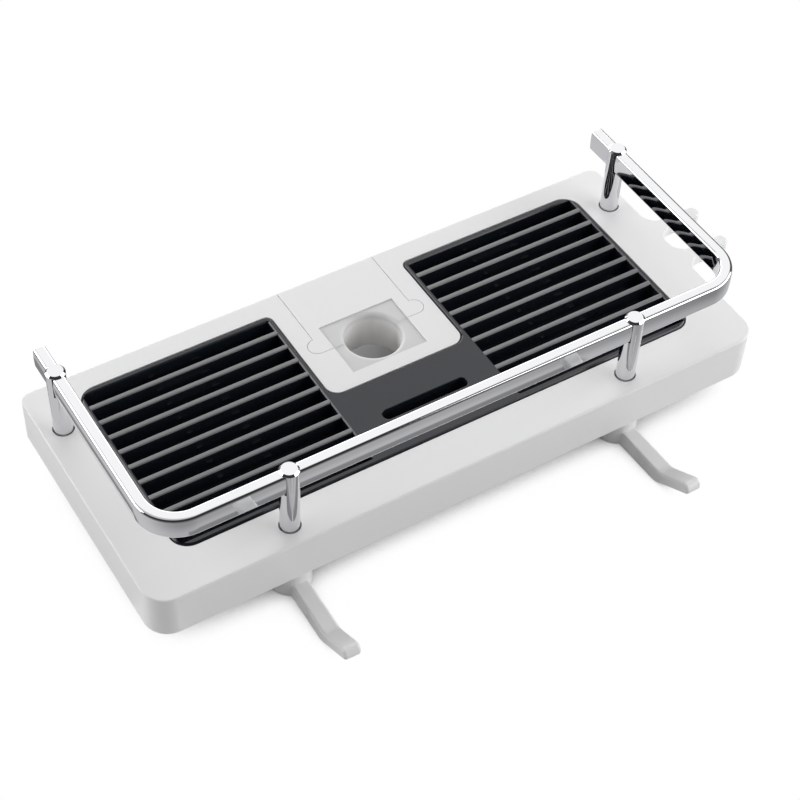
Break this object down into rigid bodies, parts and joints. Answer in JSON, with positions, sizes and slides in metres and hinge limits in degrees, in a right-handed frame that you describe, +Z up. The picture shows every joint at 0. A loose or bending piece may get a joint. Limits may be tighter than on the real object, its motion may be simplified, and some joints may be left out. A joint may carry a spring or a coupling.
{
  "type": "shower rail shelf",
  "caption": "Moulded shower shelf that closes round an upright rail, with a ribbed lift-out drain insert, a raised guard rail on posts, swivelling hooks and prongs on its right end.",
  "frame": {"origin": "on the axis of the upright shower rail, level with the tray's underside", "axes": "+X along the tray to the user's right, +Y back to the wall, +Z up along the shower rail"},
  "size_m": [0.3257, 0.1716, 0.0723],
  "materials": {
    "white_plastic": "white moulded plastic, softly glossy",
    "black_plastic": "black moulded plastic, glossy",
    "grip_pad": "pale translucent silicone",
    "chrome": "polished chrome plate",
    "steel": "plain stainless steel",
    "bush_plastic": "natural bearing plastic"
  },
  "bodies": {
    "tray": {"tray_shell": "white_plastic", "front_grip_pad": "grip_pad", "guard_rail": "chrome", "post_rear_left": "chrome", "post_rear_right": "chrome", "post_front_left": "chrome", "post_front_right": "chrome", "rear_post_screw_left": "steel", "rear_post_screw_right": "steel", "rear_post_washer_left": "steel", "rear_post_washer_right": "steel", "hook_screw_left": "steel", "hook_screw_right": "steel", "hook_washer_left": "steel", "hook_washer_right": "steel", "hook_bush_left": "bush_plastic", "hook_bush_right": "bush_plastic"},
    "clamp": {"clamp_block": "white_plastic", "rear_grip_pad": "grip_pad"},
    "grille": {"drain_grille": "black_plastic"},
    "left_hook": {"hook_left": "white_plastic"},
    "right_hook": {"hook_right": "white_plastic"}
  },
  "joints": [
    {"name": "clamp_lift", "type": "slide", "parent": "tray", "child": "clamp", "axis": [0, 0, 1], "range_m": [0, 0.03]},
    {"name": "grille_lift", "type": "slide", "parent": "tray", "child": "grille", "axis": [0, 0, 1], "range_m": [0, 0.05]},
    {"name": "hook_left_swivel", "type": "hinge", "parent": "tray", "child": "left_hook", "pos_m": [-0.0835, -0.07445, 0], "axis": [0, 0, 1], "range_deg": [-60, 60]},
    {"name": "hook_right_swivel", "type": "hinge", "parent": "tray", "child": "right_hook", "pos_m": [0.0835, -0.07445, 0], "axis": [0, 0, 1], "range_deg": [-60, 60]}
  ]
}
